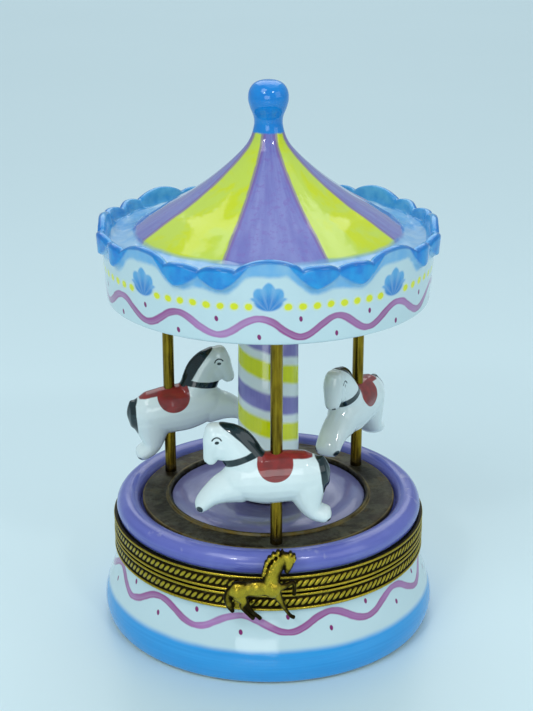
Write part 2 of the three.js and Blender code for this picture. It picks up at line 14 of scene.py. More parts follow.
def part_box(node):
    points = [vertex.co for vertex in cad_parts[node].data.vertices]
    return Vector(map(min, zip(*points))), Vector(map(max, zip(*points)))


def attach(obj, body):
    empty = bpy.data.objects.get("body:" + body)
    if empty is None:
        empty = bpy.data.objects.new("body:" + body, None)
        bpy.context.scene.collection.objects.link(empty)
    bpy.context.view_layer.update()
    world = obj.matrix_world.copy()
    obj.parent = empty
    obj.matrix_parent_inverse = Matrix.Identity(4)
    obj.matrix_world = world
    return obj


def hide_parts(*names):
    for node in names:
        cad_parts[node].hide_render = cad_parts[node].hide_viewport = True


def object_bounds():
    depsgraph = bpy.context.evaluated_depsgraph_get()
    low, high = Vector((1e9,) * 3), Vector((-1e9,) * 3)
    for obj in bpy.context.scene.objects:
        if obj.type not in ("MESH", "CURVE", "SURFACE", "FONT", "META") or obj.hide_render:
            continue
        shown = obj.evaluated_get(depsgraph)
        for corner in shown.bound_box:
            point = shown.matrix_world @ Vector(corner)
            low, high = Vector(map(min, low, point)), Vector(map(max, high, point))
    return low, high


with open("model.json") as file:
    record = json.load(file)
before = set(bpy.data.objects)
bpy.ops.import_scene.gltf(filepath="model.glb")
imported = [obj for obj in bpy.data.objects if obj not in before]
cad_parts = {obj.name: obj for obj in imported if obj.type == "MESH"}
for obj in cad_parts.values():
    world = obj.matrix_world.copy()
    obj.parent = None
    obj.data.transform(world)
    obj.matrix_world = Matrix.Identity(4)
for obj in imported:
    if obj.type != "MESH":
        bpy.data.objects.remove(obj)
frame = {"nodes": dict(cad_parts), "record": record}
cad_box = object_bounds()
nodes = frame["nodes"]

MM = 0.001


def span(node):
    """A CAD node's lowest and highest corners, in millimetres."""
    low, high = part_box(node)
    return [v / MM for v in low], [v / MM for v in high]


# ---- sizes, taken from the frame ----------------------------------------------------------------

SIDES = 288

lower_rim_low, lower_rim_high = span("base_rim")
upper_rim_low, upper_rim_high = span("lid_rim")
deck_low, _ = span("lid_deck")
ring_low, ring_high = span("platform_ring")
column_low, column_high = span("centre_column")
canopy_low, _ = span("canopy")
RIM_R = 38.0


# ---- meshes -------------------------------------------------------------------------------------

def link(name, mesh):
    """Puts a smooth-shaded mesh in the scene."""
    piece = bpy.data.objects.new(name, mesh)
    bpy.context.scene.collection.objects.link(piece)
    mesh.polygons.foreach_set("use_smooth", [True] * len(mesh.polygons))
    return piece


def curve_through(points, per_span=6):
    """Points on a smooth curve through the given ones; a point given twice makes a corner."""
    out = []
    last = len(points) - 1
    for i in range(last):
        p0, p1, p2, p3 = (points[max(i - 1, 0)], points[i], points[i + 1], points[min(i + 2, last)])
        if p1 == p2:
            continue
        m1 = [0 if p0 == p1 and i > 0 else (c - a) / 2 for a, c in zip(p0, p2)]
        m2 = [0 if p2 == p3 and i + 1 < last else (c - a) / 2 for a, c in zip(p1, p3)]
        for k in range(per_span):
            t = k / per_span
            h1, h2 = 2 * t**3 - 3 * t**2 + 1, 3 * t**2 - 2 * t**3
            g1, g2 = t**3 - 2 * t**2 + t, t**3 - t**2
            out.append(tuple(h1 * a + h2 * b + g1 * c + g2 * d for a, b, c, d in zip(p1, p2, m1, m2)))
    out.append(tuple(points[-1]))
    return out


def revolve(name, rows, sides=SIDES, closed=True):
    """A solid turned about Z. Each row is (r, z), or a function of the turn that returns (r, z).

    The rows run anticlockwise round the profile, as seen with r to the right and z up. A closed
    solid joins its last row to its first; otherwise the first and last rows lie on the axis.
    """
    verts, faces, rings = [], [], []
    for row in rows:
        at = row if callable(row) else (lambda turn, row=row: row)
        if at(0)[0] < 1e-6:
            rings.append([len(verts)] * sides)
            verts.append((0, 0, at(0)[1] * MM))
            continue
        rings.append(list(range(len(verts), len(verts) + sides)))
        for k in range(sides):
            turn = 360 * k / sides
            r, z = at(turn)
            a = math.radians(turn)
            verts.append((r * math.sin(a) * MM, -r * math.cos(a) * MM, z * MM))
    pairs = list(zip(rings, rings[1:])) + ([(rings[-1], rings[0])] if closed else [])
    for low, high in pairs:
        for k in range(sides):
            n = (k + 1) % sides
            corners = [low[k], low[n], high[n], high[k]]
            faces.append([v for i, v in enumerate(corners) if v != corners[i - 1]])
    mesh = bpy.data.meshes.new(name)
    mesh.from_pydata(verts, [], faces)
    mesh.validate()
    return link(name, mesh)


def arc(centre, radius, start, end, steps=8):
    """Points (r, z) on an arc in the profile plane, by angles in degrees."""
    out = []
    for k in range(steps + 1):
        a = math.radians(start + (end - start) * k / steps)
        out.append((centre[0] + radius * math.cos(a), centre[1] + radius * math.sin(a)))
    return out


LIMB_SIDES = 20
CAP_NARROW = 0.72  # a limb's end is rounded off by a narrower ring and a tip, so many half depths out
CAP_OUT = 0.45
CAP_TIP = 0.66


def loft(mesh, stations):
    """Adds a limb with oval sections to a bmesh: stations are (x, z, half depth, half width)."""
    rings = []
    for i, (x, z, deep, wide) in enumerate(stations):
        middle = Vector((x, 0, z))
        before, after = stations[max(i - 1, 0)], stations[min(i + 1, len(stations) - 1)]
        along = Vector((after[0] - before[0], 0, after[1] - before[1])).normalized()
        across = Vector((-along.z, 0, along.x))
        ring = []
        for k in range(LIMB_SIDES):
            a = 2 * math.pi * k / LIMB_SIDES
            offset = across * (deep * math.cos(a)) + Vector((0, wide * math.sin(a), 0))
            ring.append(mesh.verts.new(middle + offset))
        rings.append((ring, along, middle, deep))
    for (low, *_), (high, *_) in zip(rings, rings[1:]):
        for k in range(LIMB_SIDES):
            n = (k + 1) % LIMB_SIDES
            mesh.faces.new((low[k], low[n], high[n], high[k]))
    for (ring, along, middle, deep), side in ((rings[0], -1), (rings[-1], 1)):
        push = along * (side * deep * CAP_OUT)
        inner = [mesh.verts.new(middle + (v.co - middle) * CAP_NARROW + push) for v in ring]
        tip = mesh.verts.new(middle + along * (side * deep * CAP_TIP))
        for k in range(LIMB_SIDES):
            n = (k + 1) % LIMB_SIDES
            quad = (ring[k], ring[n], inner[n], inner[k])
            mesh.faces.new(quad if side > 0 else quad[::-1])
            cap = (inner[k], inner[n], tip)
            mesh.faces.new(cap if side > 0 else cap[::-1])


def melt(name, limbs, voxel, rounds):
    """One smooth skin over many limbs, which stays in the limbs' own frame, in millimetres."""
    work = bmesh.new()
    for stations in limbs:
        loft(work, curve_through(stations, 5))
    bmesh.ops.recalc_face_normals(work, faces=work.faces)
    mesh = bpy.data.meshes.new(name)
    work.to_mesh(mesh)
    work.free()
    piece = link(name, mesh)
    remesh = piece.modifiers.new("skin", "REMESH")
    remesh.mode = "VOXEL"
    remesh.voxel_size = voxel
    soften = piece.modifiers.new("soften", "SMOOTH")
    soften.factor = 0.5
    soften.iterations = rounds
    evaluated = piece.evaluated_get(bpy.context.evaluated_depsgraph_get())
    baked = bpy.data.meshes.new_from_object(evaluated)
    bpy.data.objects.remove(piece)
    return baked


# ---- node fields: numbers and colours worked out at every point of a surface --------------------

class Field:
    """A number in a node tree, with arithmetic."""

    def __init__(self, paint, socket):
        self.paint = paint
        self.socket = socket

    def op(self, operation, *others):
        return self.paint.math(operation, self, *others)

    def __add__(self, other):
        return self.op("ADD", other)

    def __sub__(self, other):
        return self.op("SUBTRACT", other)

    def __mul__(self, other):
        return self.op("MULTIPLY", other)

    def __truediv__(self, other):
        return self.op("DIVIDE", other)

    def __neg__(self):
        return self * -1

    def __rsub__(self, other):
        return self.paint.math("SUBTRACT", other, self)

    __radd__ = __add__
    __rmul__ = __mul__

    def abs(self):
        return self.op("ABSOLUTE")

    def sin(self):
        return self.op("SINE")

    def cos(self):
        return self.op("COSINE")

    def floor(self):
        return self.op("FLOOR")

    def fract(self):
        return self.op("FRACT")

    def root(self):
        return self.op("SQRT")

    def least(self, other):
        return self.op("MINIMUM", other)

    def most(self, other):
        return self.op("MAXIMUM", other)

    def above(self, edge, soft):
        """0 below the edge and 1 above it, with a soft step."""
        return self.paint.step(self, edge - soft / 2, edge + soft / 2)

    def below(self, edge, soft):
        return 1 - self.above(edge, soft)


class Paint:
    """A material whose colour, gloss and relief are worked out from the object's own coordinates."""

    def __init__(self, name, attribute=None):
        self.material = bpy.data.materials.new(name)
        self.material.use_nodes = True
        self.tree = self.material.node_tree
        self.shader = self.tree.nodes["Principled BSDF"]
        self.place = self.stored(attribute) if attribute else self.object_place()
        self.x, self.y, self.z = self.split(self.place)

    def add(self, kind):
        return self.tree.nodes.new(kind)

    def link(self, source, target):
        self.tree.links.new(source, target)

    def feed(self, value, target):
        if isinstance(value, Field):
            self.link(value.socket, target)
        else:
            target.default_value = value

    def feed_colour(self, colour, target):
        """A colour is the output of a mix, or three plain numbers."""
        if hasattr(colour, "is_output"):
            self.link(colour, target)
        else:
            target.default_value = (*colour, 1.0)

    def stored(self, name):
        """A vector stored on the mesh."""
        source = self.add("ShaderNodeAttribute")
        source.attribute_name = name
        return source.outputs["Vector"]

    def object_place(self):
        """The place on the object, in millimetres."""
        scale = self.add("ShaderNodeVectorMath")
        scale.operation = "SCALE"
        scale.inputs["Scale"].default_value = 1 / MM
        self.link(self.add("ShaderNodeTexCoord").outputs["Object"], scale.inputs[0])
        return scale.outputs["Vector"]

    def split(self, vector):
        """The three parts of a vector, as fields."""
        node = self.add("ShaderNodeSeparateXYZ")
        self.link(vector, node.inputs[0])
        return [Field(self, node.outputs[i]) for i in range(3)]

    def join(self, *values):
        node = self.add("ShaderNodeCombineXYZ")
        for value, target in zip(values, node.inputs):
            self.feed(value, target)
        return node.outputs[0]

    def math(self, operation, *values):
        node = self.add("ShaderNodeMath")
        node.operation = operation
        for value, target in zip(values, node.inputs):
            self.feed(value, target)
        return Field(self, node.outputs[0])

    def step(self, value, low, high):
        node = self.add("ShaderNodeMapRange")
        node.interpolation_type = "SMOOTHSTEP"
        self.feed(value, node.inputs["Value"])
        self.feed(low, node.inputs["From Min"])
        self.feed(high, node.inputs["From Max"])
        return Field(self, node.outputs["Result"])

    def turn(self):
        """Degrees about the axis, from the front (-Y) towards +X."""
        return self.math("ARCTAN2", self.x, -self.y) * (180 / math.pi)

    def radius(self):
        return (self.x * self.x + self.y * self.y).root()

    def texture(self, place, scale, detail, rough=0.5, warp=0.0):
        node = self.add("ShaderNodeTexNoise")
        node.inputs["Scale"].default_value = scale
        node.inputs["Detail"].default_value = detail
        node.inputs["Roughness"].default_value = rough
        node.inputs["Distortion"].default_value = warp
        self.link(place, node.inputs["Vector"])
        return Field(self, node.outputs["Fac"])

    def noise(self, scale, detail, rough=0.5, stretch=(1, 1, 1), warp=0.0):
        """Noise through space."""
        stretched = self.add("ShaderNodeVectorMath")
        stretched.operation = "MULTIPLY"
        self.link(self.place, stretched.inputs[0])
        stretched.inputs[1].default_value = stretch
        return self.texture(stretched.outputs["Vector"], scale, detail, rough, warp)

    def noise_at(self, u, v, scale, detail):
        """Noise over two fields, such as an angle and a height."""
        return self.texture(self.join(u, v), scale, detail)

    def around(self, rate, height, scale, detail=2.0):
        """Noise that runs round the axis without a seam, at so much of its length to each degree."""
        r = self.radius() / (rate * 180 / math.pi)
        return self.texture(self.join(self.x / r, self.y / r, height), scale, detail)

    def mix(self, amount, under, over):
        node = self.add("ShaderNodeMix")
        node.data_type = "RGBA"
        self.feed(amount, node.inputs[0])
        self.feed_colour(under, node.inputs[6])
        self.feed_colour(over, node.inputs[7])
        return node.outputs[2]

    def finish(self, colour, rough, relief, depth, metal=0.0, coat=0.0):
        """Sets the shader's inputs. The relief is so many millimetres deep."""
        self.feed_colour(colour, self.shader.inputs["Base Color"])
        self.feed(rough, self.shader.inputs["Roughness"])
        self.shader.inputs["Metallic"].default_value = metal
        self.shader.inputs["Coat Weight"].default_value = coat
        self.shader.inputs["Coat Roughness"].default_value = 0.04
        bump = self.add("ShaderNodeBump")
        bump.inputs["Strength"].default_value = 1.0
        bump.inputs["Distance"].default_value = depth * MM
        self.feed(relief, bump.inputs["Height"])
        self.link(bump.outputs["Normal"], self.shader.inputs["Normal"])
        return self.material


# ---- porcelain paints ---------------------------------------------------------------------------

WHITE = (0.61, 0.78, 0.82)
# a lighter copy of the white glaze: painted light for the horses and the column, which stand in the
# canopy's shade
WHITE_WITH_PAINTED_LIGHT = (0.80, 0.91, 0.91)
BLUE = (0.004, 0.20, 0.66)
SKY = (0.10, 0.42, 0.80)
WASH = (0.21, 0.50, 0.78)
LAVENDER = (0.33, 0.31, 0.68)
ORCHID = (0.47, 0.17, 0.48)
MAGENTA = (0.30, 0.02, 0.21)
BLACK = (0.006, 0.012, 0.016)
RED = (0.32, 0.006, 0.003)


def glaze(paint, colour, rough=0.07):
    """A clear fired glaze with the faint waviness of hand-dipped ware."""
    wave = paint.noise(0.25, 2.0)
    grain = paint.noise(3.0, 1.0)
    return paint.finish(colour, rough + 0.06 * grain, wave, depth=0.10, coat=0.3)


def brushed(paint, colour, dark, light, height, amount):
    """Brush streaks laid around the piece over a base colour."""
    streaks = paint.around(0.02, height, 1.6, 4.0)
    pools = paint.noise(0.09, 3.0)
    tone = paint.mix(streaks.above(0.5, 0.5) * amount, colour, dark)
    return paint.mix(pools.above(0.55, 0.3) * 0.35 * amount, tone, light)


INNER_WALLS_R = 36.5


def wave_line(paint, colour, turn, periods, crest_turn, middle_z, swing, width):
    """The orchid wave line with its magenta drops, painted around a white wall."""
    z = paint.z
    phase = (turn - crest_turn) * (periods * math.pi / 180)
    wander = (paint.around(0.06, 0.0, 1.0) - 0.5) * 1.2
    path = phase.cos() * swing + middle_z + wander
    slope = (phase.sin() * 0.85).abs()
    away = (z - path).abs() / (1 + slope * 0.45)
    stroke = paint.around(0.10, z * 0.5, 1.0, 3.0)
    bristle = paint.around(0.02, (z - path) * 1.2, 2.0, 2.0)
    load = paint.around(0.035, 7.0, 1.0)
    band = away.below(width / 2 + (stroke - 0.5) * 0.45, 0.3)
    wet_edge = away.above(width * 0.3, 0.35)
    tint = paint.mix((load.above(0.48, 0.25) * 0.65 + wet_edge * 0.3).least(0.9), ORCHID, MAGENTA)
    outside = paint.radius().above(INNER_WALLS_R, 0.3)
    colour = paint.mix(band * outside * (0.72 + bristle * 0.35), colour, tint)
    pitch = 360 / periods
    for offset, drop_z in ((0.5, middle_z + swing - 0.2), (0.0, middle_z - swing - 0.1)):
        cell = ((turn - crest_turn) / pitch + offset + 0.5).fract() - 0.5
        u = cell * (pitch * math.pi / 180) * paint.radius()
        v = z - drop_z - (paint.around(0.04, drop_z, 1.0) - 0.5) * 1.2
        drop = (u * u * 4.4 + v * v * 2.0 + u * v * 0.9).root().below(0.88, 0.35)
        colour = paint.mix(drop * outside, colour, (0.24, 0.012, 0.14))
    return colour


def bowl_paint():
    paint = Paint("bowl_porcelain")
    turn, z = paint.turn(), paint.z
    # the waves on the left sit up to 4 degrees further from the front
    left = turn.below(-15.0, 60.0) * turn.above(-125.0, 90.0)
    colour = wave_line(paint, WHITE, turn + left * 4.0, 12, -8.0, 14.2, 1.8, 1.35)
    band_top = 8.2 + (paint.around(0.05, z * 0.1, 1.0) - 0.5) * 0.8
    streaks = paint.around(0.015, z, 2.2, 4.0)
    band = paint.mix(streaks.above(0.5, 0.9) * 0.8, (0.03, 0.38, 0.84), (0.012, 0.29, 0.73))
    outside = paint.radius().above(38.2, 0.4)
    colour = paint.mix((z - band_top).below(0.0, 1.7) * outside, colour, band)
    bare_foot = z.below(0.45, 0.3)
    colour = paint.mix(bare_foot, colour, (0.62, 0.66, 0.64))
    return glaze(paint, colour)


def deck_paint():
    paint = Paint("deck_porcelain")
    r, z = paint.radius(), paint.z
    roll = brushed(paint, (0.145, 0.165, 0.54), (0.10, 0.115, 0.45), (0.22, 0.25, 0.62), r + z, 0.9)
    disc = brushed(paint, (0.22, 0.22, 0.44), (0.17, 0.165, 0.39), (0.30, 0.32, 0.50), r * 0.4, 0.9)
    # the two paints meet out of sight, under the ring
    colour = paint.mix(r.above(27.0, 0.2), disc, roll)
    thin = paint.noise(0.22, 4.0, 0.6).above(0.66, 0.1) * r.above(31.0, 0.5) * 0.45
    colour = paint.mix(thin, colour, (0.36, 0.36, 0.60))
    hidden = z.below(deck_low[2] + 3.6, 0.6)
    return glaze(paint, paint.mix(hidden, colour, WHITE), 0.20)


STRIPE_PITCH = 14.6  # how far a stripe climbs in one turn about the column
STRIPE_PHASE = -0.14
STRIPE_LAG = 0.45
STRIPE_HALF = 0.155  # half the height of a stripe, in pitches


def column_paint():
    paint = Paint("column_porcelain")
    turn, z = paint.turn(), paint.z
    rad = turn * (math.pi / 180)
    drift = (paint.around(0.03, z * 0.1, 1.0) - 0.5) * 0.9
    climb = z + turn * (STRIPE_PITCH / 360) - rad.sin() * STRIPE_LAG + drift
    t = (climb / STRIPE_PITCH + STRIPE_PHASE).fract()
    streaks = paint.around(0.5, z * 0.06, 0.3, 3.0)
    pools = paint.noise(0.25, 2.0)
    # the lime is painted lighter than the tent's lime: painted light against the shade under the canopy
    lime = paint.mix(streaks.above(0.5, 0.9), (0.68, 0.76, 0.002), (0.85, 0.90, 0.004))
    violet = paint.mix(streaks.above(0.5, 0.9), (0.19, 0.17, 0.50), (0.27, 0.25, 0.60))
    violet = paint.mix(pools.above(0.55, 0.3) * 0.4, violet, LAVENDER)
    in_lime = (t - 0.25).abs().below(STRIPE_HALF, 0.08)
    in_violet = (t - 0.71).abs().below(STRIPE_HALF, 0.08)
    # the white between the stripes is the lighter white, painted light against the canopy's shade
    colour = paint.mix(in_violet, paint.mix(in_lime, WHITE_WITH_PAINTED_LIGHT, lime), violet)
    return glaze(paint, colour)


PANELS = 8
SECTOR = 360 / PANELS
PANEL_TURN = 3.2
ROOF_EDGE_R = 31.0
DOT_PITCH = 4.65  # degrees
DOT_Z = 90.0
SHELL_HEEL_Z = 88.9


def smooth(t):
    """A soft step from 0 at 0 to 1 at 1."""
    t = min(max(t, 0.0), 1.0)
    return t * t * (3 - 2 * t)


def bell(value, centre, width):
    return math.exp(-(((value - centre) / width) ** 2))


def arch_angle(turn):
    """How far a turn is from the nearest shell, as 0 at the shell and 180 half-way to the next."""
    return abs((turn * PANELS + 180) % 360 - 180)


def ruffle(turn):
    """Heights of the ruffle's top edge, of its blue edge and of its pale wash, and how far it swells."""
    a = arch_angle(turn)
    uneven = math.sin(math.radians(turn * 3 + 40)) * 0.25
    if a < 84:
        top = 97.9 + 2.2 * (1 - (a / 84) ** 2) ** 0.85
    else:
        t = (a - 84) / 96
        top = 97.9 - 0.5 * t + 1.0 * math.sin(math.pi * t) ** 0.75
    if a < 118:
        blue = min(93.7 + 5.9 * max(0.0, (118 - a) / 76) ** 1.5, top - 0.45 - 0.6 * smooth((a - 40) / 40))
    else:
        blue = 93.7 + 2.4 * ((a - 118) / 62) ** 1.8
    wash = 96.5 - 4.1 * smooth((a - 40) / 70) + 0.9 * smooth((a - 125) / 55)
    swell = 0.2 + 1.0 * bell(a, 120, 40)
    return top + uneven, blue + uneven, wash, swell


def panel_warp(cos_1, sin_2):
    """How far the hand-painted tent panels stray from even eighths, in degrees."""
    return 5.0 - 5.3 * cos_1 + 2.8 * sin_2


def canopy_paint():
    paint = Paint("canopy_porcelain")
    turn, r, z = paint.turn(), paint.radius(), paint.z
    mottle = paint.noise(0.35, 3.0)
    # the waves on the right sit up to 5 degrees nearer to the front
    right = turn.above(25.0, 50.0) * turn.below(125.0, 90.0)
    colour = wave_line(paint, WHITE, turn + right * 5.0, 13, -3.0, 85.3, 2.0, 1.45)

    # lime dots between the shells
    between = (turn / SECTOR).fract() - 0.5
    cell = between * (SECTOR / DOT_PITCH)
    wander = paint.around(0.1, 0.0, 1.0) - 0.5
    u = (cell.fract() - 0.5 + wander * 0.12) * (DOT_PITCH * math.pi / 180) * r
    v = z - DOT_Z - wander * 0.9
    edge = 0.70 + paint.around(0.35, z * 0.4, 1.0) * 0.35
    reach = (u * u + v * v * 1.2).root() / edge
    dots = between.abs().below(0.405, 0.005)
    colour = paint.mix(reach.below(1.25, 0.9) * dots * 0.5, colour, (0.80, 0.86, 0.22))
    colour = paint.mix(reach.below(0.95, 0.35) * dots, colour, (0.78, 0.82, 0.004))

    # blue shells: brush strokes fanned up from a heel, under each arch
    inside = (turn / SECTOR + 0.5).fract() - 0.5
    u = inside * (SECTOR * math.pi / 180) * r
    v = z - SHELL_HEEL_Z
    lean = paint.math("ARCTAN2", u, v)
    reach = (u * u + v * v).root()
    fingers = (lean * 6.1).cos().abs()
    tips = 5.9 + fingers * 0.75 - lean.abs() * 1.7
    fan = reach.below(tips, 0.7) * lean.abs().below(0.92, 0.16) * v.above(0.9, 0.5)
    heel = (u * u * 0.5 + (v - 2.4) * (v - 2.4)).root().below(2.15, 0.6)
    bristle = paint.noise_at(lean * 3.5, reach * 0.25, 2.4, 3.0)
    pale = (reach - 2.6).above(1.2, 3.2)
    stroke = paint.mix(pale, (0.008, 0.22, 0.64), (0.09, 0.40, 0.76))
    cover = fan.most(heel) * (0.80 + fingers * 0.2) * (1.12 - bristle * 0.3)
    colour = paint.mix(cover, colour, stroke)

    # the ruffle: deep blue on its edge and in its folds, thinning to a pale wash where it hangs
    above_blue, above_wash, under_top = paint.split(paint.stored("ruffle"))
    ragged = (mottle - 0.5) * 0.9
    outer = r.above(36.4, 0.6)
    wash = paint.mix(mottle.above(0.5, 0.5), WASH, SKY)
    colour = paint.mix((above_wash + ragged).above(0.35, 1.3) * outer * 0.88, colour, wash)
    blue = paint.mix(mottle.above(0.45, 0.4), BLUE, (0.008, 0.34, 0.78))
    colour = paint.mix((above_blue + ragged * 0.6).above(0.1, 0.9) * outer, colour, blue)
    edge_line = (under_top - 0.1).abs().below(0.5, 0.5) * r.above(37.3, 0.4)
    colour = paint.mix(edge_line * 0.6, colour, (0.01, 0.13, 0.46))

    # the pale blue gutter, and the deeper blue on the back of the ruffle
    on_top = z.above(95.0, 0.4) * (r + ragged).below(37.0, 1.6)
    lining = under_top.below(-0.5, 0.3) * (r + z * 0.3 + ragged).above(65.2, 0.9)
    gutter = paint.mix(mottle.above(0.5, 0.4), (0.22, 0.48, 0.78), (0.36, 0.60, 0.82))
    colour = paint.mix(on_top, colour, gutter)
    inner_blue = paint.mix(mottle.above(0.5, 0.5), (0.02, 0.27, 0.66), (0.10, 0.42, 0.76))
    colour = paint.mix(lining, colour, inner_blue)

    # the tent: lavender and lime panels with a thin violet line between
    rad = turn * (math.pi / 180)
    sector = (turn - PANEL_TURN + panel_warp(rad.cos(), (rad * 2).sin())) / SECTOR + 0.5
    inside = sector.fract() - 0.5
    parity = (sector.floor() / 2).fract().above(0.25, 0.01)
    pools = paint.noise(0.10, 3.0, 0.55, warp=0.5)
    streaks = paint.around(0.20, r * 0.10, 0.9, 5.0)
    scuffs = paint.noise(0.8, 4.0, 0.7)
    lime = paint.mix(pools.above(0.50, 0.14) * 0.9, (0.60, 0.75, 0.08), (0.66, 0.75, 0.004))
    violet = paint.mix(streaks.above(0.50, 0.6), (0.25, 0.27, 0.60), (0.16, 0.16, 0.49))
    violet = paint.mix(scuffs.above(0.58, 0.2) * 0.5, violet, (0.20, 0.13, 0.46))
    edge = (0.5 - inside.abs()) * (SECTOR * math.pi / 180) * r
    panel = paint.mix(parity, violet, lime)
    seam = edge.below(0.35 + mottle * 0.45, 0.5)
    panel = paint.mix(seam * 0.75, panel, (0.20, 0.11, 0.36))
    rim_wobble = (paint.around(0.05, 2.0, 1.0) - 0.5) * 1.6
    roof = (r + rim_wobble).below(ROOF_EDGE_R, 1.3) * z.above(95.2, 0.6)
    colour = paint.mix(roof, colour, panel)

    knob = z.above(119.6 + (mottle - 0.5) * 1.2, 0.6)
    knob_blue = paint.mix(mottle, (0.002, 0.19, 0.66), (0.006, 0.30, 0.78))
    return glaze(paint, paint.mix(knob, colour, knob_blue))


def horse_paint():
    """Places are in the horse's own frame: x forward and z up, from the middle of its body."""
    paint = Paint("horse_porcelain", "local")
    x, z = paint.x, paint.z
    side = paint.y.abs()

    def blob(cx, cz, rx, rz, soft=0.22, tilt=0.0):
        """An oval patch about (cx, cz)."""
        c, s = math.cos(tilt), math.sin(tilt)
        dx, dz = x - cx, z - cz
        u, w = (dx * c + dz * s) / rx, (dz * c - dx * s) / rz
        return (u * u + w * w).root().below(1.0, soft / min(rx, rz))

    def stroke(points):
        """A brush stroke of varying width along (x, z, half width) points."""
        cover = None
        for (x0, z0, w0), (x1, z1, w1) in zip(points, points[1:]):
            length = math.hypot(x1 - x0, z1 - z0)
            ux, uz = (x1 - x0) / length, (z1 - z0) / length
            along = ((x - x0) * ux + (z - z0) * uz).most(0.0).least(length)
            dx, dz = x - (along * ux + x0), z - (along * uz + z0)
            away = (dx * dx + dz * dz).root() - (along * ((w1 - w0) / length) + w0)
            part = away.below(0.0, 0.25)
            cover = part if cover is None else cover.most(part)
        return cover

    wobble = (paint.noise(0.5, 2.0) - 0.5) * 0.5
    # the red saddle: a round flap, the seat, and the red along the back behind it
    flap = blob(0.3, 4.3, 4.05, 4.05)
    seat = z.above(4.3, 0.2) * (x - 0.3).abs().below(4.0, 0.25)
    rear = (z + wobble * 0.4).above(5.15, 0.25) * x.above(-8.1, 0.4) * x.below(0.5, 0.2)
    red = flap.most(seat).most(rear) * z.below(8.0, 0.1)
    thin = paint.noise(0.4, 3.0)
    warm = paint.noise(0.12, 2.0).above(0.55, 0.3) * 0.25
    # the horse's white is the lighter white, painted light against the canopy's shade
    colour = paint.mix(warm, WHITE_WITH_PAINTED_LIGHT, (0.70, 0.80, 0.78))
    saddle = paint.mix(thin.above(0.5, 0.4), RED, (0.20, 0.004, 0.002))
    colour = paint.mix(red * 0.97, colour, saddle)

    # black: mane, collar, tail, hooves, brow, eye and nostril
    mane = stroke([
        (12.4, 13.3, 0.6), (9.6, 12.2, 1.25), (7.0, 10.2, 1.4), (5.0, 7.8, 1.15), (3.3, 6.2, 0.7),
    ])
    collar = stroke([(12.0, 3.5, 0.95), (9.2, 4.5, 0.8), (6.4, 5.6, 0.7), (3.6, 6.8, 0.9)])
    tail = stroke([
        (-8.8, 5.6, 0.5), (-10.4, 4.3, 1.05), (-11.2, 1.9, 1.3), (-11.3, -0.5, 1.1), (-10.9, -3.2, 0.35),
    ])
    fore_hooves = blob(17.3, -7.1, 0.75, 0.75)
    hind_hooves = blob(-12.4, -9.9, 1.0, 0.45, tilt=-0.2)
    brow_r = ((x - 13.3) * (x - 13.3) + (z - 9.2) * (z - 9.2)).root()
    brow = (brow_r - 1.1).abs().below(0.16, 0.14) * z.above(9.5, 0.2)
    eye = blob(13.25, 9.1, 0.5, 0.38, 0.15)
    on_side = side.above(0.5, 0.3)
    nostril = blob(15.6, 3.6, 0.55, 0.3, 0.12) * (side - 0.9).abs().below(0.4, 0.2) * x.above(14.6, 0.4)
    ink = mane
    for mark in (collar, tail * x.below(-8.4, 0.2), fore_hooves, hind_hooves,
                 brow * on_side, eye * on_side, nostril):
        ink = ink.most(mark)
    colour = paint.mix(ink, colour, paint.mix(thin, BLACK, (0.004, 0.03, 0.035)))
    return glaze(paint, colour)


# ---- metals -------------------------------------------------------------------------------------

OLD_BRASS = (0.022, 0.015, 0.004)
BRIGHT_BRASS = (0.54, 0.39, 0.035)


def aged_brass(name, worn_and_shaded):
    """Old brass. The given function says where it stays bright, from 0 to 1: where handling has kept it
    bright, and on the clasp also a painted highlight on the proud parts with painted shade on the edges
    and in the recesses.
    """
    paint = Paint(name)
    grime = paint.noise(0.55, 4.0, 0.6)
    specks = paint.noise(3.2, 3.0, 0.6)
    patches = paint.noise(0.035, 2.0)
    # on the clasp this also carries a painted highlight and painted shade
    worn_and_shaded_level = worn_and_shaded(paint) + (grime + patches * 1.4 - 1.2) * 0.55 + (specks - 0.5) * 0.25
    bright = worn_and_shaded_level.above(0.42, 0.5)
    colour = paint.mix(bright, OLD_BRASS, BRIGHT_BRASS)
    colour = paint.mix(grime.above(0.60, 0.2) * 0.3, colour, (0.10, 0.085, 0.035))
    rough = 0.36 - bright * 0.16 + specks * 0.16
    return paint.finish(colour, rough, specks + grime, 0.03, metal=1.0)


def rim_brass():
    """Bright on the crests of the rope and the beads, dark between them."""
    def worn_and_shaded(paint):
        return paint.radius().above(37.88, 0.30) * 0.9
    return aged_brass("rim_brass", worn_and_shaded)


def ring_brass():
    paint = Paint("ring_brass")
    r = paint.radius()
    brushed_marks = paint.around(0.01, r, 5.0, 3.0)
    grime = paint.noise(0.16, 4.0, 0.65)
    edge = (r - 24.8).abs().below(0.35, 0.3).most(r.above(30.5, 0.3))
    bright = (edge * 0.30 + brushed_marks * 0.35 + (grime - 0.5) * 0.9).above(0.42, 0.5)
    colour = paint.mix(bright, (0.028, 0.020, 0.009), (0.22, 0.15, 0.035))
    settled = paint.noise(0.05, 2.0).above(0.52, 0.12)
    dust = paint.noise(0.45, 5.0, 0.7).above(0.50, 0.25) * grime.above(0.45, 0.3).most(settled * 0.9)
    colour = paint.mix(dust * 0.4, colour, (0.24, 0.25, 0.19))
    rough = 0.34 + grime * 0.22 + dust * 0.2
    return paint.finish(colour, rough, brushed_marks * 0.5 + dust, 0.05, metal=0.9)


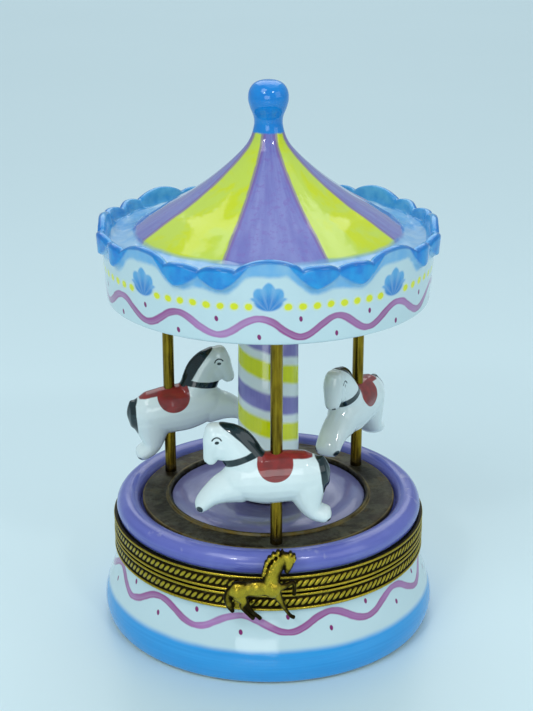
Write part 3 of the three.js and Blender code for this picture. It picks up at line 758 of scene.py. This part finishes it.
def pole_brass():
    paint = Paint("pole_brass")
    stain = paint.noise(0.35, 3.0, 0.6, stretch=(1, 1, 0.3))
    drawn = paint.noise(3.0, 2.0, stretch=(1, 1, 0.02))
    colour = paint.mix(stain.above(0.5, 0.35), (0.31, 0.20, 0.015), (0.10, 0.06, 0.007))
    colour = paint.mix(drawn.above(0.58, 0.2) * 0.25, colour, (0.56, 0.41, 0.05))
    foot = paint.z.below(ring_high[2] + 1.2, 1.6)
    colour = paint.mix(foot * 0.7, colour, (0.05, 0.04, 0.02))
    return paint.finish(colour, 0.17 + stain * 0.14, drawn, 0.008, metal=1.0)


def machined(name, base, dark, rough):
    """Turned or milled metal, with fine tool marks and a little tarnish."""
    paint = Paint(name)
    marks = paint.noise(2.5, 2.0, stretch=(0.25, 0.25, 6.0))
    stain = paint.noise(0.25, 4.0, 0.6)
    colour = paint.mix(stain.above(0.55, 0.3) * 0.6, base, dark)
    colour = paint.mix(marks.above(0.55, 0.25) * 0.25, colour, dark)
    return paint.finish(colour, rough + marks * 0.14, marks, 0.012, metal=1.0)


# ---- pieces -------------------------------------------------------------------------------------

def place(piece, body, slot, material, *replaced):
    piece.data.materials.append(material)
    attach(piece, body)
    if replaced:
        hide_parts(*replaced)
    return piece


def make_bowl():
    under, floor = 5.6, 7.3
    outside = curve_through([
        (38.8, 0.0), (39.6, 0.35), (40.3, 1.5), (40.7, 3.6), (40.5, 5.8), (39.8, 8.2), (38.8, 11.0),
        (37.95, 13.8), (37.3, 16.0), (37.0, 17.55),
    ], 5)
    inside = curve_through([(33.9, 21.3), (33.9, 17.0), (34.9, 12.5), (35.4, 9.0), (34.4, floor)], 4)
    rows = [(1.9, under), (35.4, under), (35.9, 5.0), (36.5, 0.3), (36.9, 0.0), *outside,
            (36.4, 17.6), (36.4, 21.0), (36.1, 21.3), *inside, (1.9, floor)]
    return revolve("porcelain_bowl", rows)


ROPE_TWISTS = 156
ROPE_ROWS = 40
ROPE_LEAN = 0.55  # how far a strand leans from its middle to its end, in strands
ROPE_HALF = 0.27  # half heights of the rope and of each bead, as parts of the band's height
BEAD_HALF = 0.095
BAND_DEPTH = 0.48  # from the rim's radius to the plain band
RELIEF = 0.5  # how far the rope and the beads stand up from the plain band
LIP_R = 34.2  # how far in the flat lip of a rim reaches


def make_rim(name, low, high, lip_at_top):
    """A band with a bead along each edge and a row of slanted bumps, like a rope, between them."""
    tall = high - low

    def face(z):
        v = (z - low) / tall

        def at(turn):
            bead = max(0.0, 1 - ((min(v, 1 - v) - BEAD_HALF) / BEAD_HALF) ** 2) ** 0.5
            across = (v - 0.5) / ROPE_HALF
            lean = turn * ROPE_TWISTS / 360 - across * ROPE_LEAN
            along = abs(lean - math.floor(lean) - 0.5)
            strand = 0.25 + 0.75 * math.cos(math.pi * along) ** 0.7
            bump = max(0.0, 1 - across**2) ** 0.5 * strand * 0.95
            return (RIM_R - BAND_DEPTH + RELIEF * max(bead, bump), z)
        return at

    skin = [face(low + tall * k / ROPE_ROWS) for k in range(ROPE_ROWS + 1)]
    inner = RIM_R - 1.3
    if lip_at_top:
        back = [(LIP_R, high), (LIP_R, high - 0.4), (inner, high - 0.4), (inner, low)]
    else:
        back = [(inner, high), (inner, low + 0.4), (LIP_R, low + 0.4), (LIP_R, low)]
    return revolve(name, [*skin, *back], sides=8 * ROPE_TWISTS)


def make_deck():
    under, disc, floor = deck_low[2] + 1.1, ring_low[2] + 0.8, ring_low[2] - 0.3
    roll = curve_through([
        (36.5, 26.6), (36.95, 26.9), (37.2, 27.9), (37.2, 28.7), (36.9, 29.6), (36.2, 30.5),
        (35.2, 31.05), (34.1, 31.2), (33.0, 31.0), (32.1, 30.4), (31.6, 29.6), (31.3, 28.8),
        (31.0, floor),
    ], 4)
    rows = [(5.0, under), (32.8, under), (34.2, 25.2), (34.2, 23.0), (36.4, 23.0), (36.4, 26.5), *roll,
            (23.7, floor), (23.6, floor + 0.1), (23.6, disc - 0.15), (23.45, disc), (5.0, disc)]
    return revolve("porcelain_deck", rows)


def make_ring():
    low, high = ring_low[2], ring_high[2]
    inner, outer, top = 24.0, ring_high[0], high - 0.6
    rows = [(inner, low), (outer - 0.1, low), (outer, low + 0.1), (outer, top - 0.2), (outer - 0.2, top),
            (28.6, top - 0.05), (26.0, top), (inner + 1.0, top), (inner + 0.82, top + 0.12),
            (inner + 0.8, high - 0.15), (inner + 0.65, high), (inner + 0.15, high), (inner, high - 0.15)]
    return revolve("turning_ring", rows)


def make_column():
    low, high = column_low[2], column_high[2]
    foot, top = column_high[0], 7.05
    rows = [(5.0, low), (foot - 0.25, low), (foot, low + 0.25), (foot - 0.02, low + 1.5),
            (top, high - 0.3), (top - 0.3, high), (5.0, high)]
    return revolve("striped_column", rows, sides=96)


CANOPY_SIDES = 480
WALL_FOOT_R = 37.7
WALL_FLARE = 0.070
SKIRT_FOOT_Z = 88.6
SKIRT_ROWS = 52
TOP_ROUND = 0.75  # how far the ruffle's top edge is rounded over
KNOB_NECK_Z = 118


def make_canopy():
    """One shell, from the axis under the tent, out and down, round the lip, and up to the knob."""
    low = canopy_low[2]

    def wall_r(z):
        return WALL_FOOT_R + (z - low) * WALL_FLARE

    def skirt(t):
        """A row at part t of the way from the plain wall to the top edge of the ruffle."""
        def at(turn):
            top, blue, wash, swell = ruffle(turn)
            z = SKIRT_FOOT_Z + (top - SKIRT_FOOT_Z) * t
            fold = smooth((z - blue + 0.55) / 0.8) * swell
            cape = smooth((z - wash + 0.3) / 1.2) * 0.12
            near_top = min(1.0, max(0.0, 1 - (top - z) / 1.0))
            roll = TOP_ROUND * (1 - math.sqrt(1 - near_top ** 2))
            return (wall_r(z) + fold + cape - roll, z)
        return at

    def crest(inward, drop):
        """A row over the top of the ruffle and down its back, as far as the gutter."""
        def at(turn):
            top, _, _, swell = ruffle(turn)
            floor = 96.1 + 0.4 * inward / 3
            return (wall_r(top) + swell - TOP_ROUND - inward, max(top - drop, floor - 0.2))
        return at

    def roof(r, z):
        """A row of the tent, with a low rib where two panels meet."""
        def at(turn):
            rad = math.radians(turn)
            warp = panel_warp(math.cos(rad), math.sin(2 * rad))
            sector = (turn - PANEL_TURN + warp) / SECTOR + 0.5
            off = (sector - round(sector)) * SECTOR
            return (r, z + bell(off, 0, 4.5) * 0.35 * min(r / ROOF_EDGE_R, 1))
        return at

    inside = [(0.0, 103.0), (6.0, 102.6), (31.0, 94.0), (32.0, 88.5), (34.6, 88.5), (34.9, low + 0.4)]
    lip = arc((35.9, low + 0.75), 0.85, 190, 260, 4) + arc((37.0, low + 0.75), 0.75, 270, 355, 6)
    wall = [(wall_r(z), z) for z in (82.6, 84.0, 85.5, 87.0, 88.2)]
    frill = [skirt(k / SKIRT_ROWS) for k in range(SKIRT_ROWS + 1)]
    over = [crest(0.3, -0.12), crest(0.6, -0.12), crest(0.9, 0.05), crest(1.15, 0.45), crest(1.3, 1.1),
            crest(1.45, 2.0), crest(1.7, 2.8), crest(2.0, 3.4)]
    gutter = [(35.2, 95.9), (34.0, 96.0), (32.4, 96.4), (31.5, 96.8), (31.1, 97.05)]
    tent = curve_through([
        (31.0, 97.2), (27.6, 99.35), (24.2, 101.5), (20.8, 103.4), (17.5, 105.6), (13.8, 108.3),
        (10.2, 111.3), (7.4, 113.9), (5.3, 116.2), (4.2, 118.0), (3.6, 119.7), (3.25, 121.6),
        (3.45, 123.2), (4.15, 124.9), (4.62, 126.8), (4.4, 128.8), (3.4, 130.3), (1.8, 131.05),
        (0.0, 131.2),
    ], 4)
    tent = [roof(r, z) if z < KNOB_NECK_Z else (r, z) for r, z in tent]
    before = [*inside, *lip, *wall, *frill]
    rows = [*before, *over, *gutter, *tent]
    canopy = revolve("porcelain_canopy", rows, CANOPY_SIDES, closed=False)

    # what the paint needs: heights above the blue and above the wash, and the depth below the
    # ruffle's top edge, or -1 on the back of the ruffle. The first row is one point on the axis.
    first = 1 + CANOPY_SIDES * (len(before) - 1)
    behind = range(first, first + CANOPY_SIDES * len(over))
    levels = []
    for vertex in canopy.data.vertices:
        x, y, z = (c / MM for c in vertex.co)
        top, blue, wash, _ = ruffle(math.degrees(math.atan2(x, -y)))
        levels += [z - blue, z - wash, -1.0 if vertex.index in behind else top - z]
    store = canopy.data.attributes.new("ruffle", "FLOAT_VECTOR", "POINT")
    store.data.foreach_set("vector", levels)
    return canopy


def make_pole(name):
    low, high = span(f"pole_{name}")
    x, y = (low[0] + high[0]) / 2, (low[1] + high[1]) / 2
    r = (high[1] - low[1]) / 2
    foot, top = low[2], high[2]
    ring, canopy = ring_high[2], canopy_low[2]
    rows = [(0.0, foot), (r - 0.2, foot), (r, foot + 0.2), (r, ring + 0.5), (r - 0.06, ring + 0.7),
            (r - 0.06, canopy + 3), (r, canopy + 3.2), (r, top - 0.3), (r - 0.3, top), (0.0, top)]
    pole = revolve(f"turned_pole_{name}", rows, sides=40, closed=False)
    pole.location = (x * MM, y * MM, 0)
    return pole


HORSE_Z = 46.7
HORSES = (  # name, heading anticlockwise from +X, nose-up pitch, how far it sits ahead of its pole
    ("front", 180, 0, 0.0),
    ("right", -118, 2, 0.0),
    ("left", 10, 13, 1.5),
)
HORSE_LIMBS = (
    # trunk, neck, head, cheek: (x, z, half depth, half width)
    ((-9.4, 0.9, 4.4, 3.5), (-7.4, 0.5, 5.6, 4.2), (-4.5, 0.2, 6.0, 4.4), (-1.5, 0.0, 6.2, 4.4),
     (2.5, -0.4, 6.2, 4.4), (7.0, -0.6, 5.4, 4.2), (9.5, -1.2, 4.4, 3.8)),
    ((5.0, 1.5, 4.7, 3.8), (8.2, 5.6, 4.5, 3.3), (10.9, 8.9, 3.9, 2.8), (12.8, 10.6, 3.0, 2.5)),
    ((14.0, 11.6, 2.0, 2.3), (14.0, 8.9, 2.5, 2.8), (14.5, 6.0, 2.0, 2.3), (14.9, 3.9, 1.6, 1.8)),
    ((12.0, 7.6, 3.2, 2.8), (12.8, 5.4, 2.0, 2.3)),
    # forelegs and hindlegs, each pair run together
    ((8.5, -1.9, 4.6, 3.8), (12.0, -3.0, 3.6, 3.6), (14.9, -4.8, 2.5, 3.4), (16.7, -6.7, 1.95, 3.3),
     (17.2, -7.5, 1.5, 3.0)),
    ((-6.6, -1.6, 5.2, 4.2), (-7.2, -5.2, 3.7, 3.8), (-8.2, -7.9, 2.5, 3.4), (-10.2, -9.2, 2.0, 3.2),
     (-11.5, -9.3, 1.85, 3.0)),
    # tail, mane
    ((-9.9, 4.4, 0.9, 1.1), (-11.3, 1.4, 0.9, 1.3), (-11.0, -2.4, 0.35, 0.5)),
    ((12.6, 12.0, 0.7, 0.8), (10.0, 11.7, 1.1, 1.1), (7.0, 9.8, 1.3, 1.2), (4.6, 7.0, 1.1, 1.0),
     (3.2, 5.4, 0.5, 0.6)),
)


def make_horse(name, heading, pitch, ahead, skin):
    """A copy of the skin on its pole. Its paint follows the horse's own places, stored as "local"."""
    mesh = skin.copy()
    local = mesh.attributes.new("local", "FLOAT_VECTOR", "POINT")
    places = [c for vertex in mesh.vertices for c in vertex.co]
    local.data.foreach_set("vector", places)
    low, high = span(f"pole_{name}")
    stand = Matrix.Translation(((low[0] + high[0]) / 2, (low[1] + high[1]) / 2, HORSE_Z))
    turn = Matrix.Rotation(math.radians(heading), 4, "Z") @ Matrix.Rotation(-math.radians(pitch), 4, "Y")
    mesh.transform(Matrix.Scale(MM, 4) @ stand @ turn @ Matrix.Translation((ahead, 0, 0)))
    return link(f"porcelain_horse_{name}", mesh)


CLASP_LIMBS = (
    # trunk, neck, head, ear: (x, z, half depth, half width)
    ((-8.3, 24.0, 1.5, 0.9), (-7.0, 24.2, 2.3, 1.6), (-4.7, 24.5, 1.9, 0.9), (-2.6, 24.8, 2.0, 1.3),
     (-0.7, 24.9, 2.0, 0.95), (1.0, 24.9, 2.4, 1.6), (2.2, 25.4, 1.4, 0.9)),
    ((0.4, 25.6, 2.0, 1.0), (0.9, 28.3, 1.9, 0.9), (1.9, 30.6, 1.7, 0.85), (3.1, 32.3, 1.3, 0.8)),
    ((3.2, 32.9, 1.1, 0.8), (4.5, 32.2, 1.35, 1.0), (4.5, 30.8, 1.05, 0.9), (4.2, 29.5, 0.75, 0.7),
     (4.1, 28.9, 0.6, 0.6)),
    ((3.2, 33.4, 0.5, 0.5), (3.0, 34.5, 0.25, 0.3)),
    # raised foreleg, standing foreleg, two hindlegs, tail
    ((2.0, 24.9, 1.1, 0.8), (4.0, 25.6, 0.6, 0.6), (5.6, 26.3, 0.5, 0.55), (5.8, 24.8, 0.42, 0.5),
     (5.7, 23.3, 0.5, 0.5)),
    ((1.6, 24.0, 1.3, 0.9), (2.7, 21.7, 0.75, 0.7), (3.8, 19.6, 0.45, 0.6), (4.9, 18.0, 0.42, 0.5),
     (5.7, 17.5, 0.5, 0.5)),
    ((-6.6, 23.2, 1.9, 1.15), (-5.6, 21.6, 1.1, 0.9), (-5.9, 20.2, 0.6, 0.7), (-4.6, 18.4, 0.45, 0.55),
     (-3.4, 17.2, 0.5, 0.5)),
    ((-6.2, 22.6, 1.4, 0.6), (-4.8, 20.6, 0.7, 0.5), (-3.6, 18.9, 0.45, 0.5), (-1.8, 17.2, 0.5, 0.5)),
    ((-8.8, 24.4, 0.7, 0.6), (-9.2, 22.6, 0.9, 0.7), (-8.7, 20.6, 0.9, 0.7), (-8.0, 19.0, 0.5, 0.5)),
)
CLASP_CURLS = (  # where the locks of the mane and the forelock curl: x, z, radius
    (2.2, 33.7, 0.55), (1.2, 33.1, 0.6), (0.3, 32.2, 0.6), (-0.3, 31.1, 0.6), (-0.6, 29.9, 0.6),
    (-0.9, 28.7, 0.55), (2.3, 32.5, 0.45), (1.4, 31.6, 0.5), (1.6, 30.6, 0.45), (0.7, 30.5, 0.45),
    (1.1, 29.5, 0.45), (0.3, 29.0, 0.45), (0.9, 28.4, 0.4), (0.1, 27.7, 0.45),
    (4.9, 33.4, 0.45), (5.7, 32.9, 0.4), (5.9, 32.1, 0.35),
)
CLASP_Y = -40.1
PAD_SIZE = (7.0, 1.8, 3.0)  # a block behind the trunk, which ends 0.3 short of the rim's rope
PAD_AT = (-2.5, 0.9, 24.4)


def make_clasp():
    """The brass horse, and the pad behind it."""
    curls = [((x, z + 0.3, r, 1.1), (x - 0.3, z - 0.5, r * 0.8, 1.0)) for x, z, r in CLASP_CURLS]
    mesh = melt("clasp_figure", [*CLASP_LIMBS, *curls], 0.13, 2)
    backing = bmesh.new()
    backing.from_mesh(mesh)
    pad = bmesh.ops.create_cube(backing, size=1.0)["verts"]
    bmesh.ops.scale(backing, vec=PAD_SIZE, verts=pad)
    bmesh.ops.translate(backing, vec=PAD_AT, verts=pad)
    backing.to_mesh(mesh)
    backing.free()
    mesh.transform(Matrix.Scale(MM, 4) @ Matrix.Translation((0, CLASP_Y, 0)))
    return link("clasp_figure", mesh)


def clasp_brass():
    """Bright where the figure stands proud: partly kept bright by handling, partly a painted highlight,
    with painted shade on the edges and in the recesses.
    """
    def worn_and_shaded(paint):
        # painted highlight on the proud parts and painted shade on the edges and in the recesses,
        # together with the brightness that handling leaves
        proud = (CLASP_Y - paint.y).above(0.75, 1.0)
        return proud * 0.9 + 0.05
    return aged_brass("clasp_brass", worn_and_shaded)


def build_object():
    porcelain = "white_porcelain"
    rim = rim_brass()
    place(make_bowl(), "base", porcelain, bowl_paint(), "base_bowl")
    lower_rim = make_rim("lower_rim", lower_rim_low[2], lower_rim_high[2], lip_at_top=True)
    place(lower_rim, "base", "aged_brass", rim, "base_rim")
    upper_rim = make_rim("upper_rim", upper_rim_low[2], upper_rim_high[2], lip_at_top=False)
    place(upper_rim, "lid", "aged_brass", rim, "lid_rim")
    place(make_deck(), "lid", "deck_porcelain", deck_paint(), "lid_deck")
    place(make_column(), "lid", "column_porcelain", column_paint(), "centre_column")
    place(make_clasp(), "lid", "aged_brass", clasp_brass(), "clasp_horse")
    place(make_ring(), "carousel", "aged_brass", ring_brass(), "platform_ring")
    place(make_canopy(), "carousel", "canopy_porcelain", canopy_paint(), "canopy")
    pole, coat = pole_brass(), horse_paint()
    skin = melt("horse_skin", HORSE_LIMBS, 0.3, 6)
    for name, heading, pitch, ahead in HORSES:
        place(make_pole(name), "carousel", "pole_brass", pole, f"pole_{name}")
        horse = make_horse(name, heading, pitch, ahead, skin)
        place(horse, "carousel", porcelain, coat, f"horse_{name}")
    bpy.data.meshes.remove(skin)


def finish_cad_nodes():
    """The hinge, the catch and the movement keep their CAD shapes, and get worn and machined metal."""
    old = aged_brass("hinge_brass", lambda paint: 0.5)
    brass = machined("movement_brass", (0.60, 0.42, 0.14), (0.30, 0.19, 0.06), 0.24)
    steel = machined("movement_steel", (0.52, 0.53, 0.55), (0.24, 0.24, 0.26), 0.22)
    by_slot = {"aged_brass": old, "movement_brass": brass, "steel": steel}
    slots = {part["node"]: part["material_slot"] for part in frame["record"]["subparts"]}
    for name, node in nodes.items():
        if node.hide_render:
            continue
        node.data.materials.clear()
        node.data.materials.append(by_slot[slots[name]])


# ---- stage --------------------------------------------------------------------------------------

CAMERA_AT = (-0.44, -338.5, 188.0)
CAMERA_AIM = (-0.44, 0.0, 65.5)
LENS = 76.35
FLOOR_SIZE = 6.0  # this and the gap under the object are in metres
FLOOR_GAP = 0.0002


def floor_paint():
    paint = Paint("studio_floor")
    cloud = paint.noise(0.004, 3.0)
    grain = paint.noise(0.9, 2.0)
    colour = paint.mix(cloud, (0.64, 0.80, 0.84), (0.67, 0.83, 0.87))
    return paint.finish(colour, 0.32 + grain * 0.06, grain, 0.01)


def make_floor():
    mesh = bpy.data.meshes.new("studio_floor")
    half = FLOOR_SIZE / 2
    corners = [(-half, -half, 0), (half, -half, 0), (half, half, 0), (-half, half, 0)]
    mesh.from_pydata(corners, [], [(0, 1, 2, 3)])
    floor = link("studio_floor", mesh)
    floor.location.z = cad_box[0].z - FLOOR_GAP
    mesh.materials.append(floor_paint())


def area_light(name, at, aim, size, watts, colour, tall=None):
    lamp = bpy.data.lights.new(name, "AREA")
    lamp.energy = watts
    lamp.color = colour
    lamp.size = size
    if tall:
        lamp.shape = "RECTANGLE"
        lamp.size_y = tall
    holder = bpy.data.objects.new(name, lamp)
    bpy.context.scene.collection.objects.link(holder)
    holder.location = Vector(at)
    holder.rotation_euler = (Vector(aim) - Vector(at)).to_track_quat("-Z", "Y").to_euler()


def light_stage():
    world = bpy.data.worlds.new("studio")
    bpy.context.scene.world = world
    world.use_nodes = True
    back = world.node_tree.nodes["Background"]
    back.inputs["Color"].default_value = (0.72, 0.87, 0.95, 1)
    back.inputs["Strength"].default_value = 0.50
    middle = (0, 0, 0.06)
    area_light("window", (-0.35, -0.45, 0.75), middle, 0.35, 1.5, (0.93, 0.98, 1.0), 0.45)
    area_light("overhead", (0.15, 0.15, 0.95), middle, 0.7, 0.8, (0.95, 0.99, 1.0))
    area_light("front", (-0.12, -0.9, 0.22), middle, 0.45, 0.9, (0.93, 0.98, 1.0), 0.25)
    area_light("spark_left", (-0.28, -0.55, 0.55), middle, 0.06, 0.5, (1.0, 1.0, 1.0))
    area_light("spark_right", (0.30, -0.50, 0.60), middle, 0.06, 0.5, (1.0, 1.0, 1.0))
    area_light("fill", (0.6, -0.35, 0.35), middle, 0.4, 0.5, (0.95, 0.98, 1.0))
    area_light("backdrop", (0, 1.6, 1.5), (0, 1.2, 0), 2.0, 17.0, (0.95, 0.98, 1.0))


def set_camera():
    lens = bpy.data.cameras.new("camera")
    lens.lens = LENS
    lens.sensor_width = 36.0
    lens.clip_start = 0.01
    camera = bpy.data.objects.new("camera", lens)
    bpy.context.scene.collection.objects.link(camera)
    at, aim = Vector(CAMERA_AT) * MM, Vector(CAMERA_AIM) * MM
    camera.location = at
    camera.rotation_euler = (aim - at).to_track_quat("-Z", "Y").to_euler()
    bpy.context.scene.camera = camera


build_object()
finish_cad_nodes()
make_floor()
light_stage()
set_camera()
bpy.context.scene.view_settings.view_transform = "Standard"
